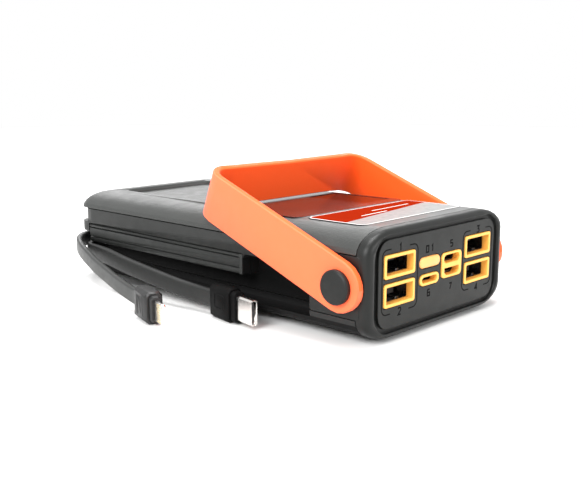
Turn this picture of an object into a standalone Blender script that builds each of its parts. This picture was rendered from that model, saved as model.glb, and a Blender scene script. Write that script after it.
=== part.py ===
"""Portable power bank with a carry strap, four USB-A outputs and two built-in flat cables.

Units are metres and +Z is up. The front face with the ports looks towards -Y, the carry strap turns on two pins
near the front, and the part rests on the lamp lens under the body. x = 0 and y = 0 are the middle of the body.
"""

import math

import bmesh
import bpy
from mathutils import Vector

# Body
BODY_LENGTH = 0.1455
BODY_WIDTH = 0.0740
BODY_TOP = 0.0344
BODY_BOTTOM = 0.0010
RIM_PROUD = 0.0004
TOP_CORNER_WIDE = 0.0130
BOTTOM_CORNER_WIDE = 0.0117
REAR_CORNER = 0.0060
REAR_TOP_EDGE = 0.0022
FRONT_EDGE = 0.0024
SEAM_UPPER = 0.0274
SEAM_LOWER = 0.0082
SEAM_FRONT = 0.0040
SEAM_GAP = 0.0003
WALL = 0.0020
TOP_PLATE = 0.0024

# Front cap
EAR_BACK = 0.0219
EAR_THICK = 0.0025
EAR_PROUD = 0.0001
CAP_PLATE = 0.0026
PANEL_HALF = 0.0315
PANEL_LOW = 0.0043
PANEL_HIGH = 0.0313
MOAT_WIDE = 0.0024
MOAT_DEEP = 0.0010
PANEL_CORNER = 0.0048

# Left side: cable channel, plug pocket and grooved rail
CHANNEL_DEEP = 0.0075
CHANNEL_LOW = 0.0060
CHANNEL_HIGH = 0.0143
POCKET_BACK = 0.0514
POCKET_HIGH = 0.0215
RAIL_LOW = 0.0146
RAIL_HIGH = 0.0213
RAIL_BACK = 0.1370
RAIL_THICK = 0.0035
RAIL_LINE = 0.0005
REAR_CHANNEL_HIGH = 0.0185
REAR_CHANNEL_END = -0.0160
REAR_RECESS = 0.0016
RECESS_CORNER = 0.0076

# Top
LID_FALL_FROM = 0.0100
LID_KNEE = 0.0750
LID_KNEE_DROP = 0.0008
LID_END_DROP = 0.0013
REAR_PAN_HALF = 0.0215
REAR_PAN_FRONT = 0.0860
REAR_PAN_BACK = 0.1345
REAR_PAN_DEEP = 0.0014
LABEL_LEFT = -0.0268
LABEL_RIGHT = 0.0268
LABEL_FRONT = 0.0095
LABEL_BACK = 0.0330
GLOSS_HALF = 0.0280
GLOSS_BACK = 0.0740
DISPLAY_X = 0.0185
DISPLAY_WIDE = 0.0150
DISPLAY_FRONT = 0.0400
DISPLAY_BACK = 0.0660

# Strap
PIVOT_DEPTH = 0.0088
PIVOT_HEIGHT = 0.0181
STRAP_TILT = math.radians(20.9)
STRAP_HALF = 0.0080
STRAP_THICK = 0.0024
STRAP_CLEAR = 0.0003
STRAP_REACH = 0.0645
STRAP_BEND = 0.0062
BAR_LOW = -0.0067
BAR_HIGH = 0.0082
PIN_RADIUS = 0.0027
CAP_RADIUS = 0.0053
CAP_PROUD = 0.0020

# Ports
USB_WIDE = 0.0151
USB_HIGH = 0.0071
USB_X = 0.02135
USB_UPPER = 0.02319
USB_LOWER = 0.01448
USB_BORDER = 0.00095
PORT_GAP = 0.00025
BEZEL_DEEP = 0.0022
BEZEL_PROUD = 0.0003
BUTTON_X = -0.00577
BUTTON_Z = 0.02165
BUTTON_WIDE = 0.0108
BUTTON_HIGH = 0.0034
BUTTON_PROUD = 0.0004
PHONE_X = -0.00605
PHONE_Z = 0.01620
PHONE_WIDE = 0.0102
PHONE_HIGH = 0.0035
TWIN_X = 0.00610
TWIN_Z = 0.01910
TWIN_WIDE = 0.0110
TWIN_HIGH = 0.0081
TYPE_C_Z = 0.02110
MICRO_Z = 0.01700

# Inside
BOARD_LOW = 0.01815
BOARD_THICK = 0.00130
BOARD_HALF = 0.0298
BOARD_FRONT = 0.0075
BOARD_BACK = 0.0400
RIB_FRONT = 0.0410
RIB_BACK = 0.0424
CELL_FRONT = 0.0432
CELL_BACK = 0.1350
CELL_LEFT = -0.0275
CELL_RIGHT = 0.0311
CELL_HIGH = 0.0084
CELL_GAP = 0.00025
FLOOR_TOP = 0.0030

# Lamp under the body
LENS_HALF = 0.0240
LENS_FRONT = 0.0180
LENS_BACK = 0.1270

# Cables
RIBBON_HIGH = 0.0060
OUTER_HIGH = 0.0055
RIBBON_THICK = 0.0020
GLAND_Z = 0.0148
INNER_LANE = 0.1389
OUTER_LANE = 0.1419

FRONT = -BODY_LENGTH / 2
PANEL = FRONT + RIM_PROUD
HALF = BODY_WIDTH / 2
GAP = SEAM_GAP / 2
CHANNEL_X = -HALF + CHANNEL_DEEP
LID_TOP = BODY_TOP + 0.01
STEPS = 6

PARTS = "power_bank"
CUTTERS = "power_bank_cutters"


def clear_scene():
    """Empties the start-up scene and makes the two collections."""
    for obj in list(bpy.data.objects):
        bpy.data.objects.remove(obj)
    for name in (PARTS, CUTTERS):
        made = bpy.data.collections.new(name)
        bpy.context.scene.collection.children.link(made)
    bpy.data.collections[CUTTERS].hide_render = True


def at(depth):
    """The y of a place this deep behind the front panel."""
    return PANEL + depth


def material(name, colour, rough, metal=0.0):
    """A plain material, made once for each name."""
    made = bpy.data.materials.get(name)
    if made:
        return made
    made = bpy.data.materials.new(name)
    made.use_nodes = True
    shader = made.node_tree.nodes["Principled BSDF"]
    shader.inputs["Base Color"].default_value = (*colour, 1.0)
    shader.inputs["Roughness"].default_value = rough
    shader.inputs["Metallic"].default_value = metal
    made.diffuse_color = (*colour, 1.0)
    return made


def put(name, mesh, look=None):
    """An object in the parts collection, or in the cutters one when it has no material."""
    obj = bpy.data.objects.new(name, mesh)
    if look:
        mesh.materials.append(look)
        bpy.data.collections[PARTS].objects.link(obj)
    else:
        obj.hide_render = True
        obj.display_type = "WIRE"
        bpy.data.collections[CUTTERS].objects.link(obj)
    return obj


def loft(name, rings, look=None):
    """A closed skin over rings of points, flat at both ends."""
    build = bmesh.new()
    rows = [[build.verts.new(point) for point in ring] for ring in rings]
    count = len(rows[0])
    for row, after in zip(rows, rows[1:]):
        for i in range(count):
            j = (i + 1) % count
            build.faces.new((row[i], row[j], after[j], after[i]))
    build.faces.new(list(reversed(rows[0])))
    build.faces.new(rows[-1])
    bmesh.ops.recalc_face_normals(build, faces=build.faces)
    mesh = bpy.data.meshes.new(name)
    build.to_mesh(mesh)
    build.free()
    return put(name, mesh, look)


def placed(axis, along, point):
    """A point of an outline across this axis, as x, y, z."""
    a, b = point
    if axis == "X":
        return Vector((along, a, b))
    if axis == "Y":
        return Vector((a, along, b))
    return Vector((a, b, along))


def prism(name, outline, axis, low, high, look=None):
    """The outline drawn out along an axis."""
    rings = [[placed(axis, along, point) for point in outline] for along in (low, high)]
    return loft(name, rings, look)


def box(name, low, high, look=None):
    """A plain box between two corners."""
    outline = [(low[0], low[1]), (high[0], low[1]), (high[0], high[1]), (low[0], high[1])]
    return prism(name, outline, "Z", low[2], high[2], look)


def arc(centre, radii, start, end, steps=STEPS):
    """Points on a quarter or other arc of an ellipse, angles in degrees."""
    made = []
    for i in range(steps + 1):
        turn = math.radians(start + (end - start) * i / steps)
        made.append((centre[0] + radii[0] * math.cos(turn), centre[1] + radii[1] * math.sin(turn)))
    return made


def rounded(left, right, low, high, radius, steps=4):
    """A rectangle with round corners, counter-clockwise from the lower right."""
    r = radius
    return (
        arc((right - r, low + r), (r, r), -90, 0, steps)
        + arc((right - r, high - r), (r, r), 0, 90, steps)
        + arc((left + r, high - r), (r, r), 90, 180, steps)
        + arc((left + r, low + r), (r, r), 180, 270, steps)
    )


def rounded_at(x, z, wide, high, radius, steps=4):
    """The same, by its centre and size."""
    return rounded(x - wide / 2, x + wide / 2, z - high / 2, z + high / 2, radius, steps)


def circle(x, z, radius, count=24):
    """A full circle of points."""
    made = []
    for i in range(count):
        turn = math.tau * i / count
        made.append((x + radius * math.cos(turn), z + radius * math.sin(turn)))
    return made


def boolean(target, tool, operation):
    """An exact Boolean between two objects."""
    made = target.modifiers.new(tool.name, "BOOLEAN")
    made.operation = operation
    made.solver = "EXACT"
    made.object = tool


def cut(target, *tools):
    """Takes each tool's shape away."""
    for tool in tools:
        boolean(target, tool, "DIFFERENCE")


def section(inset_x, inset_z, y):
    """The body's outline across y, drawn in at the sides and at top and bottom."""
    half = HALF - inset_x
    top = lid_height(y) - inset_z
    low = BODY_BOTTOM + inset_z
    wide_top = max(TOP_CORNER_WIDE - inset_x, 0.004)
    wide_low = max(BOTTOM_CORNER_WIDE - inset_x, 0.004)
    tall_top = top - SEAM_UPPER
    tall_low = SEAM_LOWER - low
    points = (
        arc((half - wide_low, SEAM_LOWER), (wide_low, tall_low), -90, 0)
        + arc((half - wide_top, SEAM_UPPER), (wide_top, tall_top), 0, 90)
        + arc((wide_top - half, SEAM_UPPER), (wide_top, tall_top), 90, 180)
        + arc((wide_low - half, SEAM_LOWER), (wide_low, tall_low), 180, 270)
    )
    return [Vector((x, y, z)) for x, z in points]


def body(name, look):
    """The closed outer shape behind the front cap, round at the back."""
    rings = [section(0, 0, y) for y in (at(SEAM_FRONT + GAP), at(LID_FALL_FROM), at(LID_KNEE))]
    rear = FRONT + BODY_LENGTH
    for i in range(STEPS + 1):
        turn = math.radians(75 * i / STEPS)
        back = REAR_CORNER * (1 - math.sin(turn) / math.sin(math.radians(75)))
        inset_x = REAR_CORNER * (1 - math.cos(turn))
        inset_z = REAR_TOP_EDGE * (1 - math.cos(turn))
        rings.append(section(inset_x, inset_z, rear - back))
    return loft(name, rings, look)


def lid_height(y):
    """The height of the lid's flat top at this y: level at the front, then falling a little to the back."""
    depth = y - PANEL
    if depth <= LID_FALL_FROM:
        return BODY_TOP
    if depth <= LID_KNEE:
        return BODY_TOP - LID_KNEE_DROP * (depth - LID_FALL_FROM) / (LID_KNEE - LID_FALL_FROM)
    share = (depth - LID_KNEE) / (BODY_LENGTH - LID_KNEE)
    return BODY_TOP - LID_KNEE_DROP - (LID_END_DROP - LID_KNEE_DROP) * share


def on_lid(name, outline, low, high, look=None):
    """A plate that follows the lid, between two offsets from its top."""
    slope = (lid_height(at(LID_KNEE)) - lid_height(at(LID_FALL_FROM))) / (LID_KNEE - LID_FALL_FROM)
    rings = []
    for offset in (low, high):
        ring = []
        for x, y in outline:
            if y > at(LID_KNEE):
                height = lid_height(y)
            else:
                height = BODY_TOP + slope * (y - at(LID_FALL_FROM))
            ring.append(Vector((x, y, height + offset)))
        rings.append(ring)
    return loft(name, rings, look)


def keep_band(obj, low, high):
    """Keeps the part of the body between two heights."""
    band = box(obj.name + "_band", (-0.1, -0.2, low), (0.1, 0.2, high))
    boolean(obj, band, "INTERSECT")


def channel_cutters(name, low):
    """The cable channel along the left side, round the corner and along the back."""
    side = box(
        name + "_side",
        (-0.05, at(EAR_BACK + 0.0002), low),
        (CHANNEL_X, at(RAIL_BACK + 0.001), CHANNEL_HIGH),
    )
    inner = at(INNER_LANE - 0.0015)
    back = at(BODY_LENGTH + 0.002)
    roof = REAR_CHANNEL_HIGH
    lip = roof + 0.0021
    rear_outline = [(inner, low), (back, low), (back, lip), (at(0.1451), lip), (at(0.1415), roof),
                    (inner, roof)]
    rear = prism(name + "_rear", rear_outline, "X", -0.05, REAR_CHANNEL_END)
    corner_outline = [(-0.05, low), (CHANNEL_X, low), (CHANNEL_X, CHANNEL_HIGH), (-0.05, CHANNEL_HIGH)]
    corner = prism(name + "_corner", corner_outline, "Y", at(RAIL_BACK - 0.002), inner + 0.002)
    return side, rear, corner


def top_shell():
    """The lid: grained top with a pan at the back and a recess for the label and the gloss panel."""
    obj = body("top_shell", material("shell_top", (0.10, 0.10, 0.10), 0.55))
    keep_band(obj, SEAM_UPPER + GAP, LID_TOP)
    hollow = box("lid_hollow", (-0.0290, at(0.0060), 0.02),
                 (0.0290, at(0.1400), BODY_TOP - TOP_PLATE - 0.0006))
    wide = box("lid_hollow_wide", (-0.0316, at(0.0060), 0.02), (0.0316, at(0.1400), BODY_TOP - 0.0032))
    pan_outline = rounded(-REAR_PAN_HALF, REAR_PAN_HALF, at(REAR_PAN_FRONT), at(REAR_PAN_BACK), 0.003)
    pan = on_lid("lid_pan", pan_outline, -REAR_PAN_DEEP, LID_TOP - BODY_TOP)
    gap = PORT_GAP
    label_outline = rounded(LABEL_LEFT - gap, LABEL_RIGHT + gap, at(LABEL_FRONT - gap),
                            at(LABEL_BACK + gap), 0.003)
    label = on_lid("lid_label", label_outline, -0.0007, LID_TOP - BODY_TOP)
    gloss_outline = rounded(-GLOSS_HALF - gap, GLOSS_HALF + gap, at(LABEL_BACK + 0.0018),
                            at(GLOSS_BACK + gap), 0.003)
    gloss = on_lid("lid_gloss", gloss_outline, -0.0012, LID_TOP - BODY_TOP)
    slot = box("lid_slot", (0.0110, at(0.0410), 0.03), (0.0260, at(0.0650), LID_TOP))
    cut(obj, hollow, wide, pan, label, gloss, slot)
    return obj


def front_label():
    """The printed plate on the lid, in front of the gloss panel."""
    outline = rounded(LABEL_LEFT, LABEL_RIGHT, at(LABEL_FRONT), at(LABEL_BACK), 0.0028)
    look = material("label", (0.75, 0.12, 0.04), 0.3)
    return on_lid("front_label", outline, -0.0004, 0.00005, look)


def gloss_panel():
    """The polished inlay under the strap, with an opening for the display."""
    outline = rounded(-GLOSS_HALF, GLOSS_HALF, at(LABEL_BACK + 0.0021), at(GLOSS_BACK), 0.0028)
    obj = on_lid("gloss_panel", outline, -0.0009, 0.0, material("gloss", (0.2, 0.2, 0.2), 0.12))
    opening = rounded(0.0108, 0.0262, at(DISPLAY_FRONT - 0.0002), at(DISPLAY_BACK + 0.0002), 0.0012)
    cut(obj, prism("gloss_opening", opening, "Z", 0.03, 0.04))
    return obj


def display_lens():
    """The dark window of the charge display."""
    half = DISPLAY_WIDE / 2
    outline = rounded(DISPLAY_X - half, DISPLAY_X + half, at(DISPLAY_FRONT), at(DISPLAY_BACK), 0.001)
    look = material("display", (0.02, 0.02, 0.02), 0.05)
    return on_lid("display_lens", outline, -0.0009, -0.0001, look)


def display_board():
    """The small board under the display window, held on a stem through the lid."""
    look = material("board", (0.02, 0.16, 0.06), 0.5)
    obj = box("display_board", (0.0085, at(0.0430), 0.0308), (0.0285, at(0.0630), 0.0312), look)
    return obj


def display_module():
    """The digit block between the small board and the display window."""
    look = material("digits", (0.04, 0.04, 0.05), 0.4)
    outline = rounded(0.0115, 0.0255, at(0.0415), at(0.0645), 0.0005, 1)
    top = [Vector((x, y, lid_height(y) - 0.0012)) for x, y in outline]
    return loft("display_module", [[Vector((p.x, p.y, 0.0315)) for p in top], top], look)


def screw_places():
    """Where the four case screws stand, as x and y."""
    front = at(0.0128)
    back = at(0.1405)
    return [(-0.0265, front), (0.0265, front), (-0.0090, back), (0.0290, back)]


def screw_top(index):
    """The height that a case screw reaches: short under the ports, long at the back."""
    return 0.0102 if index < 2 else 0.0150


def middle_frame():
    """The wall between the lid and the bottom, with the cable channel, the plug pocket and a rib behind the ports."""
    obj = body("middle_frame", material("shell_side", (0.09, 0.09, 0.09), 0.5))
    keep_band(obj, SEAM_LOWER + GAP, SEAM_UPPER - GAP)
    front = box("frame_front", (CHANNEL_X + 0.0017, at(0.0030), 0), (HALF - 0.0046, at(RIB_FRONT), 0.04))
    nose = box("frame_nose", (-HALF + 0.0046, at(0.0030), 0), (0, at(EAR_BACK - 0.0012), 0.04))
    cells = box("frame_cells", (CELL_LEFT - 0.0003, at(RIB_BACK), 0),
                (HALF - WALL - 0.0004, at(CELL_BACK + 0.0004), 0.04))
    ears = []
    for side in (-1, 1):
        near = side * (HALF - EAR_THICK - 0.0003)
        far = side * 0.05
        low, high = (min(near, far), max(near, far))
        ears.append(box(f"frame_ear_{side}", (low, at(0), 0.005), (high, at(EAR_BACK + 0.0003), 0.03)))
    pocket_outline = rounded(at(EAR_BACK + 0.0003), at(POCKET_BACK), CHANNEL_LOW, POCKET_HIGH, 0.0025)
    pocket = prism("frame_pocket", pocket_outline, "X", -0.05, CHANNEL_X)
    slot = box(
        "frame_rail_slot",
        (-0.05, at(POCKET_BACK - 0.0002), 0.0120),
        (-HALF + RAIL_THICK + 0.0003, at(RAIL_BACK + 0.0005), RAIL_HIGH + 0.0003),
    )
    recess = box("frame_recess", (-0.05, at(0.1200), REAR_CHANNEL_HIGH + 0.0037), (0.05, at(0.16), 0.03))
    back = at(BODY_LENGTH - RIM_PROUD - REAR_RECESS)
    kept = rounded(-HALF, HALF, at(0.05), back, RECESS_CORNER, 6)
    cut(recess, prism("frame_recess_kept", kept, "Z", 0.01, 0.04))
    gland = box(
        "frame_gland",
        (-0.0170, at(0.1372), GLAND_Z - 0.0039),
        (-0.0121, at(0.1434), GLAND_Z + 0.0039),
    )
    cut(obj, front, nose, cells, pocket, slot, recess, gland, *ears)
    cut(obj, *channel_cutters("frame_channel", CHANNEL_LOW))
    for i, (x, y) in enumerate(screw_places()[:2]):
        wall = math.copysign(HALF - 0.0040, x)
        low, high = (min(x, wall), max(x, wall))
        boss = box(f"frame_boss_{i}", (low - 0.0003, y - 0.0027, SEAM_LOWER + GAP),
                   (high + 0.0003, y + 0.0027, 0.0108))
        boolean(obj, boss, "UNION")
        nose_end = prism(f"frame_boss_end_{i}", circle(x, y, 0.0027, 16), "Z", SEAM_LOWER + GAP, 0.0108)
        boolean(obj, nose_end, "UNION")
    for i, (x, y) in enumerate(screw_places()):
        cut(obj, prism(f"frame_bore_{i}", circle(x, y, 0.0013, 12), "Z", 0.0, screw_top(i) + 0.0004))
    for side in (-1, 1):
        hole = circle(at(PIVOT_DEPTH), PIVOT_HEIGHT, PIN_RADIUS + 0.0003, 16)
        cut(obj, prism(f"frame_pin_{side}", hole, "X", side * (HALF - 0.007), side * (HALF - 0.001)))
    return obj


def bottom_cover():
    """The tray under the body, with the lamp recess and countersunk screw holes."""
    obj = body("bottom_cover", material("shell_bottom", (0.06, 0.06, 0.06), 0.55))
    keep_band(obj, -0.01, SEAM_LOWER - GAP)
    tray = box("tray_hollow", (CHANNEL_X + 0.0017, at(0.0062), FLOOR_TOP),
               (0.0316, at(CELL_BACK + 0.0010), 0.02))
    nose = box("tray_nose", (-HALF + 0.0046, at(0.0062), FLOOR_TOP + 0.001), (0, at(EAR_BACK - 0.0012), 0.02))
    lamp_outline = rounded(-LENS_HALF - 0.0003, LENS_HALF + 0.0003, at(LENS_FRONT - 0.0003),
                           at(LENS_BACK + 0.0003), 0.0043)
    lamp = prism("tray_lamp", lamp_outline, "Z", -0.01, BODY_BOTTOM + 0.0011)
    slots = prism("tray_leds", rounded(-0.018, 0.018, at(0.026), at(0.120), 0.002), "Z", -0.01,
                  FLOOR_TOP + 0.001)
    ears = []
    for side in (-1, 1):
        near = side * (HALF - EAR_THICK - 0.0003)
        far = side * 0.05
        low, high = (min(near, far), max(near, far))
        ears.append(box(f"tray_ear_{side}", (low, at(0), SEAM_LOWER - 0.0001), (high, at(EAR_BACK), 0.03)))
    cut(obj, tray, nose, lamp, slots, *channel_cutters("tray_channel", CHANNEL_LOW))
    for i, (x, y) in enumerate(screw_places()):
        cut(obj, prism(f"tray_bore_{i}", circle(x, y, 0.0014, 12), "Z", 0.0, 0.0100))
        cut(obj, prism(f"tray_sink_{i}", circle(x, y, 0.0027, 16), "Z", -0.001, BODY_BOTTOM + 0.0018))
    front_bosses = [(x, y) for x, y in screw_places()[:2]]
    for i, (x, y) in enumerate(front_bosses):
        post = prism(f"tray_post_{i}", circle(x, y, 0.0032, 16), "Z", FLOOR_TOP - 0.0005, SEAM_LOWER - GAP)
        boolean(obj, post, "UNION")
        cut(obj, prism(f"tray_rebore_{i}", circle(x, y, 0.0014, 12), "Z", 0.0, 0.0100))
        cut(obj, prism(f"tray_resink_{i}", circle(x, y, 0.0027, 16), "Z", -0.001, BODY_BOTTOM + 0.0018))
    return obj


def port_cap():
    """The front moulding: rim, groove, port panel and an ear along each side for the strap pin."""
    look = material("cap", (0.12, 0.12, 0.12), 0.5)
    rings = []
    for i in range(STEPS + 1):
        turn = math.radians(90 * i / STEPS)
        back = FRONT_EDGE * (1 - math.cos(turn))
        inset = FRONT_EDGE * (1 - math.sin(turn))
        rings.append(section(inset, inset, FRONT + back))
    rings.append(section(0, 0, at(SEAM_FRONT - GAP)))
    obj = loft("port_cap", rings, look)
    for side in (-1, 1):
        near = side * (HALF - EAR_THICK)
        far = side * (HALF + EAR_PROUD)
        outline = rounded(at(0.0026), at(EAR_BACK), SEAM_LOWER + GAP, SEAM_UPPER - GAP, 0.0010, 2)
        boolean(obj, prism(f"cap_ear_{side}", outline, "X", near, far), "UNION")
        hole = circle(at(PIVOT_DEPTH), PIVOT_HEIGHT, PIN_RADIUS + 0.0003, 16)
        cut(obj, prism(f"cap_pin_{side}", hole, "X", side * (HALF - 0.004), side * (HALF + 0.003)))
    wide = PANEL_HALF + MOAT_WIDE
    low = PANEL_LOW - MOAT_WIDE * 0.6
    high = PANEL_HIGH + MOAT_WIDE * 0.6
    face = prism("cap_face", rounded(-wide, wide, low, high, PANEL_CORNER + 0.002), "Y", FRONT - 0.01, PANEL)
    moat = prism("cap_moat", rounded(-wide, wide, low, high, PANEL_CORNER + 0.002), "Y", FRONT - 0.01,
                 at(MOAT_DEEP))
    island = prism(
        "cap_island", rounded(-PANEL_HALF, PANEL_HALF, PANEL_LOW, PANEL_HIGH,
                              PANEL_CORNER), "Y", FRONT - 0.02, at(0.002)
    )
    cut(moat, island)
    inside = [(p.x, p.z) for p in section(WALL + 0.0002, WALL + 0.0002, 0)]
    hollow = prism("cap_hollow", inside, "Y", at(CAP_PLATE), at(SEAM_FRONT + 0.01))
    keep = box("cap_hollow_keep", (-HALF + 0.0045, at(0), 0), (HALF - 0.0045, at(0.03), 0.04))
    boolean(hollow, keep, "INTERSECT")
    cut(obj, face, moat, hollow)
    gap = PORT_GAP
    for i, (x, z) in enumerate(usb_places()):
        hole = rounded_at(x, z, USB_WIDE + 2 * gap, USB_HIGH + 2 * gap, 0.0008, 2)
        cut(obj, prism(f"cap_usb_{i}", hole, "Y", FRONT - 0.01, at(0.02)))
    button = rounded_at(BUTTON_X, BUTTON_Z, BUTTON_WIDE + 2 * gap, BUTTON_HIGH + 2 * gap,
                        BUTTON_HIGH / 2 + gap)
    phone = rounded_at(PHONE_X, PHONE_Z, PHONE_WIDE + 2 * gap, PHONE_HIGH + 2 * gap, PHONE_HIGH / 2 + gap)
    twin = rounded_at(TWIN_X, TWIN_Z, TWIN_WIDE + 2 * gap, TWIN_HIGH + 2 * gap, 0.0014 + gap)
    for name, hole in (("cap_button", button), ("cap_phone", phone), ("cap_twin", twin)):
        cut(obj, prism(name, hole, "Y", FRONT - 0.01, at(0.02)))
    return obj


def usb_places():
    """The centres of the four USB openings, left pair first."""
    return [(-USB_X, USB_UPPER), (-USB_X, USB_LOWER), (USB_X, USB_UPPER), (USB_X, USB_LOWER)]


def usb_port(number, x, z):
    """A trim frame in the panel, a metal receptacle behind it and the tongue inside."""
    trim = material("trim", (0.90, 0.62, 0.16), 0.35)
    metal = material("port_metal", (0.55, 0.55, 0.56), 0.3, 1.0)
    tongue_look = material("port_core", (0.02, 0.02, 0.02), 0.5)
    frame = prism(f"usb_bezel_{number}", rounded_at(x, z, USB_WIDE, USB_HIGH, 0.0007, 2), "Y",
                  at(-BEZEL_PROUD),
                  at(BEZEL_DEEP), trim)
    wide = USB_WIDE - 2 * USB_BORDER
    high = USB_HIGH - 2 * USB_BORDER
    cut(frame, prism(f"usb_open_{number}", rounded_at(x, z, wide, high, 0.0004, 2), "Y", at(-0.01), at(0.02)))
    shell = prism(f"usb_receptacle_{number}", rounded_at(x, z, 0.0144, 0.0063, 0.0005, 2), "Y",
                  at(BEZEL_DEEP + GAP),
                  at(0.0190), metal)
    cut(shell, box(f"usb_hollow_{number}", (x - 0.0064, at(-0.01), z - 0.0025),
                   (x + 0.0064, at(0.0175), z + 0.0025)))
    turned_over = -1 if z < (USB_UPPER + USB_LOWER) / 2 else 1
    middle = z + turned_over * 0.0008
    core = box(f"usb_tongue_{number}", (x - 0.0055, at(0.0062), middle - 0.0010),
               (x + 0.0055, at(0.0172), middle + 0.0010), tongue_look)
    heel = box(f"usb_heel_{number}", (x - 0.0061, at(0.0142), z - 0.0022),
               (x + 0.0061, at(0.0172), z + 0.0022))
    boolean(core, heel, "UNION")
    return frame, shell, core


def small_ports():
    """The phone-type, Type-C and Micro-B inputs with their trim."""
    trim = material("trim", (0.90, 0.62, 0.16), 0.35)
    metal = material("port_metal", (0.55, 0.55, 0.56), 0.3, 1.0)
    phone = prism("phone_bezel", rounded_at(PHONE_X, PHONE_Z, PHONE_WIDE, PHONE_HIGH, PHONE_HIGH / 2), "Y",
                  at(-BEZEL_PROUD), at(BEZEL_DEEP), trim)
    cut(phone, prism("phone_open", rounded_at(PHONE_X, PHONE_Z, 0.0080, 0.0019, 0.0009), "Y", at(-0.01),
                     at(0.02)))
    twin = prism("twin_bezel", rounded_at(TWIN_X, TWIN_Z, TWIN_WIDE, TWIN_HIGH, 0.0014), "Y",
                 at(-BEZEL_PROUD),
                 at(BEZEL_DEEP), trim)
    slot = rounded_at(TWIN_X, TYPE_C_Z, 0.0088, 0.0027, 0.00130)
    cut(twin, prism("type_c_open", slot, "Y", at(-0.01), at(0.02)))
    cut(twin, prism("micro_open", micro_outline(0.0082, 0.0024), "Y", at(-0.01), at(0.02)))
    port_shell("type_c_receptacle", rounded_at(TWIN_X, TYPE_C_Z, 0.0090, 0.0029, 0.0014),
               rounded_at(TWIN_X, TYPE_C_Z, 0.0082, 0.0021, 0.0010), (TWIN_X, TYPE_C_Z, 0.0062,
                                                                      0.0005), metal)
    port_shell("micro_receptacle", rounded_at(TWIN_X, MICRO_Z, 0.0080, 0.0020, 0.0004),
               rounded_at(TWIN_X, MICRO_Z, 0.0074, 0.0014, 0.0003), (TWIN_X, MICRO_Z, 0.0050, 0.0004), metal)
    port_shell("phone_receptacle", rounded_at(PHONE_X, PHONE_Z, 0.0088, 0.0030, 0.0014),
               rounded_at(PHONE_X, PHONE_Z, 0.0078, 0.0019, 0.0009), None, metal)


def micro_outline(wide, high):
    """The Micro-B opening: flat on top and drawn in below."""
    half = wide / 2
    top = MICRO_Z + high / 2
    low = MICRO_Z - high / 2
    return [(TWIN_X - half + 0.0012, low), (TWIN_X + half - 0.0012, low), (TWIN_X + half, low + 0.0009),
            (TWIN_X + half, top), (TWIN_X - half, top), (TWIN_X - half, low + 0.0009)]


def port_shell(name, outside, inside, tongue, look):
    """A small receptacle closed at the back, with a tongue that stands on its back wall."""
    obj = prism(name, outside, "Y", at(BEZEL_DEEP + GAP), at(0.0125), look)
    cut(obj, prism(name + "_hollow", inside, "Y", at(-0.01), at(0.0115)))
    if tongue:
        x, z, wide, high = tongue
        core = box(name + "_core", (x - wide / 2, at(0.0034), z - high / 2),
                   (x + wide / 2, at(0.0120), z + high / 2))
        boolean(obj, core, "UNION")
    return obj


def power_button():
    """The sliding cap of the power switch, with a stem behind it."""
    look = material("button", (1.0, 0.78, 0.30), 0.4)
    front = at(-BUTTON_PROUD)
    rings = []
    for back, inset in ((0.0, 0.0005), (0.00015, 0.00020), (0.0004, 0.0)):
        outline = rounded_at(BUTTON_X, BUTTON_Z, BUTTON_WIDE - 2 * inset, BUTTON_HIGH - 2 * inset,
                             BUTTON_HIGH / 2 - inset)
        rings.append([Vector((x, front + back, z)) for x, z in outline])
    outline = rounded_at(BUTTON_X, BUTTON_Z, BUTTON_WIDE, BUTTON_HIGH, BUTTON_HIGH / 2)
    rings.append([Vector((x, at(CAP_PLATE + 0.0006), z)) for x, z in outline])
    obj = loft("power_button", rings, look)
    flange = rounded_at(BUTTON_X, BUTTON_Z, BUTTON_WIDE + 0.0014, BUTTON_HIGH + 0.0010, 0.0012)
    boolean(obj, prism("button_flange", flange, "Y", at(CAP_PLATE + 0.0003), at(CAP_PLATE + 0.0010)), "UNION")
    stem = prism("button_stem", circle(BUTTON_X, BUTTON_Z, 0.0011, 12), "Y", at(CAP_PLATE), at(0.0042))
    boolean(obj, stem, "UNION")
    return obj


def button_switch():
    """The push switch behind the power button, on the main board."""
    look = material("switch", (0.05, 0.05, 0.05), 0.4)
    base = BOARD_LOW + BOARD_THICK + 0.0003
    obj = box("button_switch", (BUTTON_X - 0.0031, at(0.0052), base),
              (BUTTON_X + 0.0031, at(0.0088), base + 0.0042), look)
    return obj


def main_board():
    """The board between the two rows of USB receptacles."""
    look = material("board", (0.02, 0.16, 0.06), 0.5)
    obj = box("main_board", (-0.0262, at(BOARD_FRONT), BOARD_LOW),
              (BOARD_HALF, at(BOARD_BACK - 0.0036), BOARD_LOW + BOARD_THICK), look)
    nose = box("board_nose", (-BOARD_HALF, at(BOARD_FRONT), BOARD_LOW),
               (0, at(EAR_BACK - 0.0024), BOARD_LOW + BOARD_THICK))
    boolean(obj, nose, "UNION")
    return obj


def board_parts():
    """Coil and capacitor behind the ports."""
    dark = material("coil", (0.10, 0.09, 0.08), 0.7)
    base = BOARD_LOW + BOARD_THICK + 0.0003
    prism("board_coil", rounded(-0.0070, 0.0050, at(0.0210), at(0.0330), 0.0015), "Z", base, base + 0.0060,
          dark)
    steel = material("can", (0.6, 0.6, 0.62), 0.3, 1.0)
    prism("board_capacitor", circle(0.0150, at(0.0270), 0.0040, 20), "Z", base, base + 0.0075, steel)


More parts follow.
